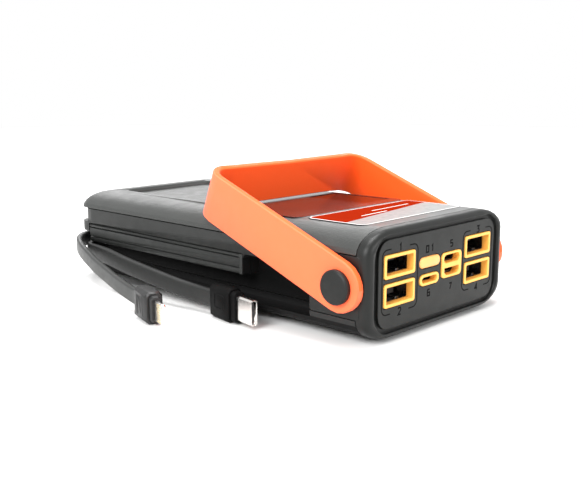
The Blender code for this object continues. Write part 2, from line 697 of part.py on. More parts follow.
def cells():
    """Three flat cells in a stack with foam under and over them."""
    look = material("cell", (0.35, 0.42, 0.50), 0.35, 0.6)
    foam = material("foam", (0.05, 0.05, 0.05), 0.9)
    low = FLOOR_TOP + CELL_GAP
    pad = 0.0009
    outline = rounded(CELL_LEFT, CELL_RIGHT, at(CELL_FRONT), at(CELL_BACK), 0.002, 3)
    inner = rounded(CELL_LEFT + 0.004, CELL_RIGHT - 0.004, at(CELL_FRONT + 0.004), at(CELL_BACK - 0.004),
                    0.002, 3)
    prism("foam_pad_lower", inner, "Z", low, low + pad, foam)
    low += pad + CELL_GAP
    for name in ("cell_lower", "cell_middle", "cell_upper"):
        prism(name, outline, "Z", low, low + CELL_HIGH, look)
        low += CELL_HIGH + CELL_GAP


def foam_upper():
    """The foam between the top cell and the lid, short of the display board."""
    foam = material("foam", (0.05, 0.05, 0.05), 0.9)
    low = FLOOR_TOP + 2 * CELL_GAP + 0.0009 + 3 * (CELL_HIGH + CELL_GAP)
    outline = rounded(CELL_LEFT + 0.001, 0.0280, at(0.0680), at(CELL_BACK - 0.004), 0.002, 3)
    prism("foam_pad_upper", outline, "Z", low, BODY_TOP - TOP_PLATE - 0.0006 - CELL_GAP, foam)


def side_rail():
    """The grooved strip above the cable channel."""
    look = material("rail", (0.09, 0.09, 0.09), 0.45)
    out = -HALF
    back = -HALF + RAIL_THICK
    line = RAIL_LINE / 2
    deep = out + 0.0010
    points = [(back, RAIL_LOW), (back, RAIL_HIGH), (out + 0.0006, RAIL_HIGH),
              (out + 0.0001, RAIL_HIGH - 0.0003)]
    for middle in (0.0201, 0.0166):
        points += [(out, middle + line), (deep, middle + line), (deep, middle - line), (out, middle - line)]
    points += [(out + 0.0001, RAIL_LOW + 0.0003), (out + 0.0005, RAIL_LOW)]
    obj = prism("side_rail", points, "Y", at(POCKET_BACK + 0.0012), at(RAIL_BACK), look)
    end = box("rail_end", (out, at(POCKET_BACK), RAIL_LOW), (back, at(POCKET_BACK + 0.0015), RAIL_HIGH))
    boolean(obj, end, "UNION")
    return obj


def lamp():
    """The lens that the part stands on, with the lamp board over it."""
    look = material("lens", (0.85, 0.86, 0.84), 0.25)
    outline = rounded(-LENS_HALF, LENS_HALF, at(LENS_FRONT), at(LENS_BACK), 0.004)
    prism("lamp_lens", outline, "Z", 0.0, BODY_BOTTOM + 0.0008, look)
    board = material("lamp_board", (0.75, 0.76, 0.74), 0.5)
    box("lamp_board", (-0.0170, at(0.0280), BODY_BOTTOM + 0.0011),
        (0.0170, at(0.1180), BODY_BOTTOM + 0.0020), board)


def strap_stations():
    """Along one side of the strap: how far it has gone out, its x, and the lower and upper edge there."""
    outer = HALF + STRAP_CLEAR + STRAP_THICK / 2
    made = []
    for degrees in (172, 160, 145, 128, 110, 90):
        turn = math.radians(degrees)
        reach = STRAP_HALF * math.cos(turn)
        edge = STRAP_HALF * math.sin(turn)
        made.append((Vector((outer, reach)), Vector((1, 0)), -edge, edge))
    straight = STRAP_REACH - STRAP_THICK / 2 - STRAP_BEND
    for share in (0.35, 0.7, 1.0):
        made.append((Vector((outer, straight * share)), Vector((1, 0)), -STRAP_HALF, STRAP_HALF))
    centre = Vector((outer - STRAP_BEND, straight))
    for i in range(1, 6):
        turn = math.radians(18 * i)
        out = Vector((math.cos(turn), math.sin(turn)))
        share = i / 5
        low = -STRAP_HALF + (BAR_LOW + STRAP_HALF - 0.0004) * share
        high = STRAP_HALF + (BAR_HIGH - STRAP_HALF) * share
        made.append((centre + out * STRAP_BEND, out, low, high))
    flat = Vector((0, 1))
    end = centre.y + STRAP_BEND
    for x, lift in ((0.0270, 0.75), (0.0215, 0.95), (0.0160, 1.0)):
        made.append((Vector((x, end)), flat, BAR_LOW - 0.0004 * (1 - lift), BAR_HIGH - 0.0002 * lift))
    return made


def strap_point(x, reach, edge):
    """A point of the strap from its own three directions, at rest on the lid."""
    along = (math.cos(STRAP_TILT), math.sin(STRAP_TILT))
    y = at(PIVOT_DEPTH) + reach * along[0] - edge * along[1]
    z = PIVOT_HEIGHT + reach * along[1] + edge * along[0]
    return Vector((x, y, z))


def strap():
    """The moulded carry strap: two arms with round ends and a bar across the lid."""
    look = material("strap", (1.0, 0.26, 0.05), 0.45)
    half = strap_stations()
    stations = [(p.x, p.y, n.x, n.y, low, high) for p, n, low, high in half]
    stations += [(0.0, half[-1][0].y, 0.0, 1.0, BAR_LOW, BAR_HIGH - 0.0004)]
    stations += [(-p.x, p.y, -n.x, n.y, low, high) for p, n, low, high in reversed(half)]
    edge_round = 0.0004
    rings = []
    for x, reach, nx, ny, low, high in stations:
        ring = []
        t = STRAP_THICK / 2
        inner_low = low + edge_round
        inner_high = high - edge_round
        soft = t - edge_round
        for off, edge in ((t, inner_low), (t, inner_high), (soft, high), (-soft, high),
                          (-t, inner_high), (-t, inner_low), (-soft, low), (soft, low)):
            ring.append(strap_point(x + nx * off, reach + ny * off, edge))
        rings.append(ring)
    obj = loft("strap", rings, look)
    hole = circle(at(PIVOT_DEPTH), PIVOT_HEIGHT, PIN_RADIUS + 0.0003, 24)
    cut(obj, prism("strap_hole", hole, "X", -0.06, 0.06))
    return obj


def pivots():
    """A cap with a pin through the strap and the ear on each side, and a screw from inside."""
    dark = material("pivot", (0.07, 0.07, 0.07), 0.5)
    steel = material("screw_steel", (0.7, 0.7, 0.72), 0.3, 1.0)
    y = at(PIVOT_DEPTH)
    z = PIVOT_HEIGHT
    face = HALF + STRAP_CLEAR + STRAP_THICK
    for side, name in ((-1, "left"), (1, "right")):
        rings = []
        for x, radius in ((HALF - 0.0048, PIN_RADIUS), (face + 0.0003, PIN_RADIUS),
                          (face + 0.0003, CAP_RADIUS),
                          (face + CAP_PROUD - 0.0006, CAP_RADIUS), (face + CAP_PROUD - 0.0002,
                                                                    CAP_RADIUS - 0.0003),
                          (face + CAP_PROUD, CAP_RADIUS - 0.0007)):
            rings.append([Vector((side * x, a, b)) for a, b in circle(y, z, radius)])
        pin = loft(f"pivot_cap_{name}", rings, dark)
        cut(pin, prism(f"pivot_bore_{name}", circle(y, z, 0.0014, 12), "X", side * (HALF - 0.007),
                       side * (HALF + 0.0022)))
        rings = []
        for inside, radius in ((0.0066, 0.0035), (0.0051, 0.0035), (0.0051, 0.0011), (-0.0015, 0.0011)):
            x = side * (HALF - inside)
            rings.append([Vector((x, a, b)) for a, b in circle(y, z, radius, 16)])
        loft(f"pivot_screw_{name}", rings, steel)


def case_screws():
    """The four screws from under the body."""
    steel = material("screw_steel", (0.7, 0.7, 0.72), 0.3, 1.0)
    for i, (x, y) in enumerate(screw_places()):
        rings = []
        for z, radius in ((BODY_BOTTOM + 0.0004, 0.0023), (BODY_BOTTOM + 0.0015, 0.0023),
                          (BODY_BOTTOM + 0.0015, 0.0010),
                          (screw_top(i), 0.0010)):
            rings.append([Vector((a, b, z)) for a, b in circle(x, y, radius, 16)])
        obj = loft(f"case_screw_{i + 1}", rings, steel)
        slots = []
        for long, wide in ((0.0014, 0.0002), (0.0002, 0.0014)):
            slots.append(box(f"screw_slot_{i}_{long}", (x - long, y - wide, 0),
                             (x + long, y + wide, BODY_BOTTOM + 0.0010)))
        cut(obj, *slots)


def smooth(points, step):
    """A smooth curve through the points, read at an even step."""
    dense = []
    padded = [points[0] * 2 - points[1]] + points + [points[-1] * 2 - points[-2]]
    for i in range(1, len(padded) - 2):
        a, b, c, d = padded[i - 1:i + 3]
        for j in range(20):
            t = j / 20
            dense.append(0.5 * ((b * 2) + (c - a) * t + (a * 2 - b * 5 + c * 4 - d) * t * t
                                + (b * 3 - a - c * 3 + d) * t ** 3))
    dense.append(points[-1])
    made = [dense[0]]
    left = step
    for a, b in zip(dense, dense[1:]):
        gone = (b - a).length
        while gone >= left and gone > 0:
            a = a + (b - a) * (left / gone)
            made.append(a)
            gone = (b - a).length
            left = step
        left -= gone
    if (made[-1] - dense[-1]).length < step * 0.5:
        made[-1] = dense[-1]
    else:
        made.append(dense[-1])
    return made


def beside(x, y):
    """A point of a cable's route, moved with the side and the back of the body."""
    outward = min(max((-x - ROUTE_START) / (ROUTE_HALF - ROUTE_START), 0.0), 1.0)
    return (x - (HALF - ROUTE_HALF) * outward, y * BODY_LENGTH / ROUTE_LENGTH)


def ribbon(name, route, high, look):
    """A flat cable on edge, with round top and bottom, along the route."""
    points = []
    for x, y, z in route:
        x, y = beside(x, y)
        points.append(Vector((x, at(y), z)))
    spine = smooth(points, 0.0062)
    half = high / 2
    thick = RIBBON_THICK / 2
    rings = []
    for i, here in enumerate(spine):
        before = spine[max(i - 1, 0)]
        after = spine[min(i + 1, len(spine) - 1)]
        run = (after - before)
        run.z = 0
        run.normalize()
        side = Vector((run.y, -run.x, 0))
        ring = []
        for off, lift in ((1, 0.8), (0.6, 1), (-0.6, 1), (-1, 0.8), (-1, -0.8), (-0.6, -1), (0.6, -1),
                          (1, -0.8)):
            ring.append(here + side * (off * thick) + Vector((0, 0, lift * half)))
        rings.append(ring)
    return loft(name, rings, look)


# The routes are given for a body of this half width and length, and start this far to the left of its middle.
ROUTE_HALF = 0.0370
ROUTE_LENGTH = 0.1455
ROUTE_START = 0.0172

INNER_ROUTE = [
    (-0.0172, 0.1391, 0.0145), (-0.0225, 0.1404, 0.0137), (-0.0280, 0.1411, 0.0125),
    (-0.0330, 0.1403, 0.0116), (-0.0369, 0.1376, 0.0112), (-0.0393, 0.1335, 0.0115),
    (-0.0408, 0.1285, 0.0119), (-0.0420, 0.1228, 0.0121), (-0.0430, 0.1155, 0.0119),
    (-0.0434, 0.1045, 0.0105), (-0.0429, 0.0925, 0.0089), (-0.0417, 0.0790, 0.0070),
    (-0.0408, 0.0690, 0.0060), (-0.0409, 0.0602, 0.0057),
]

OUTER_ROUTE = [
    (-0.0172, 0.1420, 0.0148), (-0.0225, 0.1436, 0.0148), (-0.0280, 0.1446, 0.0147),
    (-0.0332, 0.1440, 0.0146), (-0.0380, 0.1416, 0.0144), (-0.0417, 0.1377, 0.0141),
    (-0.0446, 0.1327, 0.0137), (-0.0471, 0.1270, 0.0131), (-0.0492, 0.1205, 0.0120),
    (-0.0510, 0.1130, 0.0103), (-0.0526, 0.1045, 0.0087), (-0.0543, 0.0960, 0.0072),
    (-0.0554, 0.0885, 0.0060), (-0.0562, 0.0830, 0.0053), (-0.0573, 0.0796, 0.0052),
    (-0.0580, 0.07745, 0.0052),
]


def cables():
    """The gland in the end wall of the rear channel and the two flat cables that leave it."""
    dark = material("gland", (0.05, 0.05, 0.05), 0.6)
    box("cable_gland", (-0.0169, at(0.1375), GLAND_Z - 0.0036), (-0.0125, at(0.1431), GLAND_Z + 0.0036), dark)
    ribbon("cable_inner", INNER_ROUTE, RIBBON_HIGH, material("cable_dark", (0.05, 0.05, 0.05), 0.5))
    ribbon("cable_outer", OUTER_ROUTE, OUTER_HIGH, material("cable_pale", (0.10, 0.10, 0.10), 0.5))


def turned(start, way, along, side, z):
    """A point from a start, so far along a level direction and so far to its side."""
    return Vector((start[0] + way[0] * along + way[1] * side,
                   at(start[1]) + way[1] * along - way[0] * side, z))


def plug_block(name, start, way, low, high, sizes, look=None):
    """A block on edge, lofted through stations of (along, half thickness, inset at top and bottom)."""
    rings = []
    for along, half, inset in sizes:
        ring = []
        bottom = low + inset
        top = high - inset
        soft = min(half * 0.45, 0.0012)
        for side, z in ((half, bottom + soft), (half, top - soft), (half - soft, top), (soft - half, top),
                        (-half, top - soft), (-half, bottom + soft), (soft - half, bottom), (half - soft,
                                                                                             bottom)):
            ring.append(turned(start, way, along, side, z))
        rings.append(ring)
    return loft(name, rings, look)


def unit(x, y):
    """A level direction of length one."""
    long = math.hypot(x, y)
    return (x / long, y / long)


def plugs():
    """The Type-C plug on the inner cable and the phone-type plug on the outer one."""
    dark = material("plug", (0.06, 0.06, 0.06), 0.5)
    steel = material("plug_metal", (0.75, 0.75, 0.76), 0.2, 1.0)
    start = beside(-0.0409, 0.0599)
    way = unit(-0.167, -0.986)
    plug_block("plug_housing_c", start, way, 0.0001, 0.0115,
               ((0.0, 0.0024, 0.0006), (0.0008, 0.0028, 0.0), (0.0104, 0.0028, 0.0),
                (0.0112, 0.0025, 0.0004)), dark)
    plug_block("plug_collar_c", start, way, 0.0006, 0.0107, ((0.0115, 0.0019, 0.0), (0.0138, 0.0019, 0.0)),
               dark)
    shell = plug_block("plug_shell_c", start, way, 0.0014, 0.00965,
                       ((0.0141, 0.0012, 0.0), (0.0220, 0.0012, 0.0)), steel)
    cut(shell, plug_block("plug_shell_hollow", start, way, 0.0018, 0.00925,
                          ((0.0151, 0.0008, 0.0), (0.03, 0.0008, 0.0))))
    plug_block("plug_core_c", start, way, 0.0025, 0.0086, ((0.0154, 0.0004, 0.0), (0.0211, 0.0004, 0.0)),
               material("port_core", (0.02, 0.02, 0.02), 0.5))
    start = beside(-0.0581, 0.07715)
    way = unit(-0.31, -0.95)
    plug_block("plug_housing_l", start, way, 0.0001, 0.0107,
               ((0.0, 0.0026, 0.0006), (0.0008, 0.0030, 0.0), (0.0110, 0.0030, 0.0),
                (0.0118, 0.0026, 0.0005)), dark)
    plug_block("plug_collar_l", start, way, 0.0009, 0.0097,
               ((0.0121, 0.0019, 0.0), (0.0134, 0.0016, 0.0004)), dark)
    plug_block("plug_tongue_l", start, way, 0.0017, 0.0084,
               ((0.0137, 0.00075, 0.0), (0.0194, 0.00075, 0.0), (0.0204, 0.0006, 0.0007)), steel)


def main():
    clear_scene()
    top_shell()
    front_label()
    gloss_panel()
    display_lens()
    display_board()
    display_module()
    middle_frame()
    bottom_cover()
    port_cap()
    for number, (x, z) in enumerate(usb_places(), 1):
        usb_port(number, x, z)
    small_ports()
    power_button()
    button_switch()
    main_board()
    board_parts()
    cells()
    foam_upper()
    side_rail()
    lamp()
    strap()
    pivots()
    case_screws()
    cables()
    plugs()


main()
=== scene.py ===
"""Portable power bank with a carry strap, four USB-A outputs and two built-in flat cables.

Metres, +Z up. The front face with the ports looks towards -Y. Each CAD node that shows is replaced by a
welded, smooth shaded copy with its own procedural material, and small details are added on them. The
nodes inside the body keep their own mesh and get a material.
"""

import math

import bmesh
import bpy
from mathutils import Euler, Matrix, Vector


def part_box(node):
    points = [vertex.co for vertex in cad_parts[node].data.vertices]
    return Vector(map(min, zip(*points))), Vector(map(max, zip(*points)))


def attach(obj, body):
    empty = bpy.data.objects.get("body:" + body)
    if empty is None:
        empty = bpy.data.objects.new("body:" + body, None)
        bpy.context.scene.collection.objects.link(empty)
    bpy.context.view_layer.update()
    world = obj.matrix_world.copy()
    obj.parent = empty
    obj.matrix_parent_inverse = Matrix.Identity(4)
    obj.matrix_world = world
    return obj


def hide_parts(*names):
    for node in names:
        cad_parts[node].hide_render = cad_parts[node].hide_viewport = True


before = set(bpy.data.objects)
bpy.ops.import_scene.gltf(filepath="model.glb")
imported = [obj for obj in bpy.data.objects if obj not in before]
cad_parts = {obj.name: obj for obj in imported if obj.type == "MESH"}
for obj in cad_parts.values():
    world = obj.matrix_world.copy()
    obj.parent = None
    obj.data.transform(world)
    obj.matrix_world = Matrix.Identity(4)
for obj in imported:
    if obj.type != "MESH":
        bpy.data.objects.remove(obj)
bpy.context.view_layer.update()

FRONT = -0.07235
HOUSING_C_HALF = 0.0028
HOUSING_L_HALF = 0.0030
TONGUE_L_HALF = 0.00075
CAMERA_PLACE = (-0.2318, -0.22689, 0.07965)
CAMERA_TURN = (78.63, 0.0, -46.64)
CAMERA_LENS = 55.16


def at(depth):
    """The y of a depth behind the front panel."""
    return FRONT + depth


# Camera


def make_camera():
    data = bpy.data.cameras.new("camera")
    data.lens = CAMERA_LENS
    data.sensor_width = 36.0
    data.clip_start = 0.01
    data.clip_end = 50.0
    obj = bpy.data.objects.new("camera", data)
    obj.location = CAMERA_PLACE
    obj.rotation_euler = Euler([math.radians(angle) for angle in CAMERA_TURN])
    bpy.context.scene.collection.objects.link(obj)
    bpy.context.scene.camera = obj


# Materials


class Look:
    """A material under construction: a Principled shader, and nodes that feed it."""

    def __init__(self, name, color, rough, metallic=0.0):
        self.material = bpy.data.materials.new(name)
        self.material.use_nodes = True
        self.tree = self.material.node_tree
        self.shader = self.tree.nodes["Principled BSDF"]
        self.color = color
        self.rough = rough
        self.shader.inputs["Base Color"].default_value = (*color, 1.0)
        self.shader.inputs["Roughness"].default_value = rough
        self.shader.inputs["Metallic"].default_value = metallic
        self.place = self.node("ShaderNodeTexCoord").outputs["Object"]
        self.normal = None

    def node(self, kind):
        return self.tree.nodes.new(kind)

    def link(self, source, target):
        self.tree.links.new(source, target)

    def noise(self, scale, detail=2.0, stretch=(1, 1, 1)):
        """A noise value over the object's own coordinates."""
        place = self.place
        if stretch != (1, 1, 1):
            mapping = self.node("ShaderNodeMapping")
            mapping.inputs["Scale"].default_value = stretch
            self.link(place, mapping.inputs["Vector"])
            place = mapping.outputs["Vector"]
        made = self.node("ShaderNodeTexNoise")
        made.inputs["Scale"].default_value = scale
        made.inputs["Detail"].default_value = detail
        self.link(place, made.inputs["Vector"])
        return made.outputs["Fac"]

    def vary_color(self, share, scale):
        """The colour drifts a little, lighter and darker, over the surface."""
        ramp = self.node("ShaderNodeValToRGB")
        low, high = ramp.color_ramp.elements
        low.position = 0.3
        high.position = 0.7
        low.color = (*[c * (1 - share) for c in self.color], 1.0)
        high.color = (*[min(c * (1 + share), 1.0) for c in self.color], 1.0)
        self.link(self.noise(scale), ramp.inputs["Fac"])
        self.link(ramp.outputs["Color"], self.shader.inputs["Base Color"])
        return self

    def vary_rough(self, spread, scale, stretch=(1, 1, 1)):
        """The roughness drifts by the spread, up and down, over the surface."""
        span = self.node("ShaderNodeMapRange")
        span.inputs["From Min"].default_value = 0.3
        span.inputs["From Max"].default_value = 0.7
        span.inputs["To Min"].default_value = max(self.rough - spread, 0.02)
        span.inputs["To Max"].default_value = min(self.rough + spread, 1.0)
        self.link(self.noise(scale, 3.0, stretch), span.inputs["Value"])
        self.link(span.outputs["Result"], self.shader.inputs["Roughness"])
        return self

    def bump(self, scale, deep):
        """Relief of so many metres deep, with grains of about one over the scale."""
        made = self.node("ShaderNodeBump")
        made.inputs["Strength"].default_value = 1.0
        made.inputs["Distance"].default_value = deep
        self.link(self.noise(scale), made.inputs["Height"])
        if self.normal:
            self.link(self.normal, made.inputs["Normal"])
        self.normal = made.outputs["Normal"]
        self.link(self.normal, self.shader.inputs["Normal"])
        return self

    def soft_edges(self, radius):
        """Edges shaded as if rounded to the radius."""
        made = self.node("ShaderNodeBevel")
        made.samples = 6
        made.inputs["Radius"].default_value = radius
        self.normal = made.outputs["Normal"]
        self.link(self.normal, self.shader.inputs["Normal"])
        return self

    def set(self, **values):
        for name, value in values.items():
            self.shader.inputs[name.replace("_", " ")].default_value = value
        return self


def make_looks():
    """Every material, by name."""
    looks = {}

    def add(name, color, rough, metallic=0.0):
        looks[name] = Look(name, color, rough, metallic)
        return looks[name]

    shell = dict(shell_top=(0.026, 0.0275, 0.026), shell_side=(0.0095, 0.0102, 0.0095),
                 shell_bottom=(0.009, 0.0095, 0.009), cap=(0.0066, 0.0072, 0.0066),
                 rail=(0.014, 0.015, 0.014))
    for name, color in shell.items():
        grained = name == "shell_top"
        look = add(name, color, 0.40 if grained else 0.42)
        look.soft_edges(0.00012 if name == "rail" else 0.00035)
        look.vary_color(0.05, 60.0).vary_rough(0.05, 220.0)
        look.set(Specular_IOR_Level={"shell_top": 0.5, "cap": 0.26}.get(name, 0.33))
        look.bump(1500.0 if grained else 3800.0, 0.00011 if grained else 0.000012)
    # The second strap look is a paler copy of the same orange for the strap's outer faces: painted light.
    for name, color in (("strap", (0.98, 0.095, 0.007)), ("strap_outer_painted_light", (0.98, 0.140, 0.050))):
        look = add(name, color, 0.55).soft_edges(0.0004).vary_color(0.02, 45.0)
        look.vary_rough(0.05, 300.0).bump(2400.0, 0.000006)
        look.set(Specular_IOR_Level=0.25, Sheen_Weight=0.1, Sheen_Roughness=0.5)
    # A darker, less shiny grey for the cable channel and the rail's front ends: painted shade.
    recess = add("recess", (0.008, 0.008, 0.008), 0.6).vary_rough(0.05, 300.0).bump(3800.0, 0.000012)
    recess.set(Specular_IOR_Level=0.06)
    add("pivot", (0.008, 0.0085, 0.008), 0.5).soft_edges(0.0003).vary_rough(0.06, 500.0).bump(3200.0, 0.00001)
    looks["pivot"].set(Specular_IOR_Level=0.25)
    add("trim", (0.93, 0.46, 0.085), 0.42).soft_edges(0.0002).vary_color(0.03, 300.0).vary_rough(0.05, 900.0)
    looks["trim"].bump(4000.0, 0.000004)
    add("button", (0.93, 0.42, 0.125), 0.35).vary_color(0.02, 300.0).vary_rough(0.04, 900.0)
    looks["button"].bump(3500.0, 0.000003)
    add("gloss", (0.015, 0.015, 0.015), 0.16).vary_rough(0.03, 90.0).bump(350.0, 0.000002)
    add("display", (0.005, 0.005, 0.005), 0.06).vary_rough(0.02, 120.0)
    looks["display"].set(Specular_IOR_Level=0.2)
    add("label_red", (0.22, 0.013, 0.003), 0.6).vary_color(0.03, 150.0).vary_rough(0.05, 500.0)
    looks["label_red"].set(Specular_IOR_Level=0.0)
    add("label_grey", (0.12, 0.12, 0.118), 0.33).vary_color(0.02, 150.0).vary_rough(0.05, 500.0)
    looks["label_grey"].set(Specular_IOR_Level=0.3)
    add("label_white", (0.86, 0.86, 0.84), 0.33).vary_rough(0.04, 500.0)
    add("label_black", (0.012, 0.012, 0.012), 0.4).vary_rough(0.04, 500.0)
    add("ink", (0.003, 0.003, 0.003), 0.8).vary_rough(0.06, 1500.0).set(Specular_IOR_Level=0.08)
    add("port_metal", (0.13, 0.13, 0.135), 0.32, 1.0).vary_rough(0.08, 700.0, (1, 6, 1))
    add("port_core", (0.045, 0.045, 0.047), 0.40).vary_rough(0.05, 900.0)
    add("contact", (0.80, 0.62, 0.30), 0.28, 1.0).vary_rough(0.06, 900.0)
    add("screw_steel", (0.62, 0.62, 0.64), 0.32, 1.0).vary_rough(0.08, 1500.0)
    add("switch", (0.04, 0.04, 0.04), 0.45).vary_rough(0.05, 900.0)
    add("board", (0.012, 0.13, 0.045), 0.35).vary_color(0.12, 400.0).vary_rough(0.05, 900.0)
    add("coil", (0.07, 0.06, 0.055), 0.6).vary_color(0.1, 600.0).bump(1500.0, 0.00002)
    add("can", (0.60, 0.60, 0.62), 0.28, 1.0).vary_rough(0.06, 600.0)
    add("digits", (0.03, 0.03, 0.035), 0.4).vary_rough(0.05, 600.0)
    add("cell", (0.42, 0.46, 0.50), 0.32, 0.9).vary_rough(0.08, 160.0).bump(260.0, 0.00005)
    add("foam", (0.035, 0.035, 0.035), 0.9).vary_color(0.2, 900.0).bump(1800.0, 0.0001)
    add("lens", (0.50, 0.51, 0.50), 0.30).soft_edges(0.0002).vary_rough(0.05, 300.0).bump(900.0, 0.000008)
    add("lamp_board", (0.72, 0.72, 0.70), 0.4).vary_rough(0.05, 500.0)
    add("gland", (0.03, 0.03, 0.03), 0.55).soft_edges(0.0003).vary_rough(0.05, 700.0).bump(1600.0, 0.00001)
    add("cable_dark", (0.009, 0.0095, 0.009), 0.50).vary_color(0.05, 120.0).vary_rough(0.05, 500.0)
    looks["cable_dark"].bump(2200.0, 0.00001)
    add("cable_pale", (0.024, 0.025, 0.024), 0.44).vary_color(0.05, 120.0).vary_rough(0.05, 500.0)
    looks["cable_pale"].bump(2200.0, 0.00001)
    for name, level in (("plug", 0.03), ("plug_outer", 0.5)):
        look = add(name, (0.006, 0.006, 0.006), 0.42).soft_edges(0.0003)
        look.vary_rough(0.05, 700.0).bump(2600.0, 0.000012)
        look.set(Specular_IOR_Level=level)
    add("plug_metal", (0.80, 0.78, 0.75), 0.22, 1.0).soft_edges(0.0002).vary_rough(0.06, 500.0, (1, 8, 1))
    return looks


# Geometry helpers


def new_piece(name, bm, look, body, angle=32.0):
    """A mesh object from bm, smooth where its faces meet at less than the angle, riding on the body."""
    bmesh.ops.recalc_face_normals(bm, faces=bm.faces)
    mesh = bpy.data.meshes.new(name)
    bm.to_mesh(mesh)
    bm.free()
    mesh.shade_smooth()
    mesh.set_sharp_from_angle(angle=math.radians(angle))
    for each in look if isinstance(look, list) else [look]:
        mesh.materials.append(each.material)
    obj = bpy.data.objects.new(name, mesh)
    bpy.context.scene.collection.objects.link(obj)
    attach(obj, body)
    return obj


def copy_of(node):
    """The CAD node's mesh, welded, with its flat faces made whole."""
    bm = bmesh.new()
    bm.from_mesh(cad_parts[node].data)
    bmesh.ops.remove_doubles(bm, verts=bm.verts, dist=2e-6)
    bmesh.ops.dissolve_limit(bm, angle_limit=math.radians(0.4), verts=bm.verts, edges=bm.edges)
    return bm


def restyle(node, look, body="body", angle=32.0, paint=None):
    """A copy of the CAD node that replaces it. paint gives each face the index of its look."""
    bm = copy_of(node)
    if paint:
        bm.normal_update()
        for face in bm.faces:
            face.material_index = paint(face)
    obj = new_piece(node + "_skin", bm, look, body, angle)
    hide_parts(node)
    return obj


def loft(rings):
    """Closed rings joined into one body with flat ends."""
    bm = bmesh.new()
    rows = []
    for ring in rings:
        rows.append([bm.verts.new(point) for point in ring])
    count = len(rows[0])
    for low, high in zip(rows, rows[1:]):
        for i in range(count):
            j = (i + 1) % count
            bm.faces.new((low[i], low[j], high[j], high[i]))
    bm.faces.new(rows[0])
    bm.faces.new(list(reversed(rows[-1])))
    return bm


def rounded(x0, x1, y0, y1, radius, steps=8):
    points = []
    for cx, cy, start in ((x1 - radius, y0 + radius, -90), (x1 - radius, y1 - radius, 0),
                          (x0 + radius, y1 - radius, 90), (x0 + radius, y0 + radius, 180)):
        for i in range(steps + 1):
            turn = math.radians(start + 90 * i / steps)
            points.append((cx + radius * math.cos(turn), cy + radius * math.sin(turn)))
    return points


def strokes(lines, wide):
    """Quads for pen lines of even width, in the plane, with mitred corners."""
    quads = []
    for line in lines:
        points = [Vector(p) for p in line]
        closed = len(points) > 2 and (points[0] - points[-1]).length < 1e-7
        if closed:
            points = points[:-1]
        sides = []
        count = len(points)
        for i, here in enumerate(points):
            before = points[i - 1] if (closed or i > 0) else None
            after = points[(i + 1) % count] if (closed or i < count - 1) else None
            a = (here - before).normalized() if before else (after - here).normalized()
            b = (after - here).normalized() if after else a
            mid = (a + b).normalized() if (a + b).length > 1e-6 else a
            normal = Vector((-mid.y, mid.x))
            spread = wide / 2 / max(abs(normal.dot(Vector((-a.y, a.x)))), 0.4)
            sides.append((here + normal * spread, here - normal * spread))
        last = count if closed else count - 1
        for i in range(last):
            j = (i + 1) % count
            quads.append((sides[i][0], sides[i][1], sides[j][1], sides[j][0]))
    return quads


def raised(quads, place, low, high):
    """Thin blocks over the quads; place(u, v, height) gives the point."""
    bm = bmesh.new()
    for quad in quads:
        base = [bm.verts.new(place(u, v, low)) for u, v in quad]
        top = [bm.verts.new(place(u, v, high)) for u, v in quad]
        bm.faces.new(base)
        bm.faces.new(list(reversed(top)))
        for i in range(4):
            j = (i + 1) % 4
            bm.faces.new((base[i], base[j], top[j], top[i]))
    return bm


def spine(points, step):
    """A smooth curve through the points, read at an even step."""
    points = [Vector(p) for p in points]
    dense = []
    padded = [points[0] * 2 - points[1]] + points + [points[-1] * 2 - points[-2]]
    for i in range(1, len(padded) - 2):
        a, b, c, d = padded[i - 1:i + 3]
        for j in range(24):
            t = j / 24
            dense.append(0.5 * ((b * 2) + (c - a) * t + (a * 2 - b * 5 + c * 4 - d) * t * t
                                + (b * 3 - a - c * 3 + d) * t ** 3))
    dense.append(points[-1])
    made = [dense[0]]
    left = step
    for a, b in zip(dense, dense[1:]):
        gone = (b - a).length
        while gone >= left and gone > 0:
            a = a + (b - a) * (left / gone)
            made.append(a)
            gone = (b - a).length
            left = step
        left -= gone
    made[-1] = dense[-1]
    return made


# Cables

# Centre lines as (x, depth behind the front panel, z), from the gland to the plug.
INNER_ROUTE = [
    (-0.0172, 0.1391, 0.0145), (-0.0225, 0.1404, 0.0137), (-0.0280, 0.1411, 0.0125),
    (-0.0330, 0.1403, 0.0116), (-0.0369, 0.1376, 0.0112), (-0.0393, 0.1335, 0.0115),
    (-0.0408, 0.1285, 0.0119), (-0.0420, 0.1228, 0.0121), (-0.0430, 0.1155, 0.0119),
    (-0.0434, 0.1045, 0.0105), (-0.0429, 0.0925, 0.0089), (-0.0417, 0.0790, 0.0070),
    (-0.0408, 0.0690, 0.0060), (-0.0409, 0.0602, 0.0057),
]
OUTER_ROUTE = [
    (-0.0172, 0.1420, 0.0148), (-0.0225, 0.1436, 0.0148), (-0.0280, 0.1446, 0.0147),
    (-0.0332, 0.1440, 0.0146), (-0.0380, 0.1416, 0.0144), (-0.0417, 0.1377, 0.0141),
    (-0.0446, 0.1327, 0.0137), (-0.0471, 0.1270, 0.0131), (-0.0492, 0.1205, 0.0120),
    (-0.0510, 0.1130, 0.0103), (-0.0526, 0.1045, 0.0087), (-0.0543, 0.0960, 0.0072),
    (-0.0554, 0.0885, 0.0060), (-0.0562, 0.0830, 0.0053), (-0.0573, 0.0796, 0.0052),
    (-0.0580, 0.07745, 0.0052),
]
CABLE_THICK = 0.0020
INNER_HIGH = 0.0060
OUTER_HIGH = 0.0055
RIBS_FROM = 0.45
NO_RIBS = 2.0
RIB_PITCH = 0.0009
RIB_DEEP = 0.00012


def length_of(points):
    return sum((b - a).length for a, b in zip(points, points[1:]))


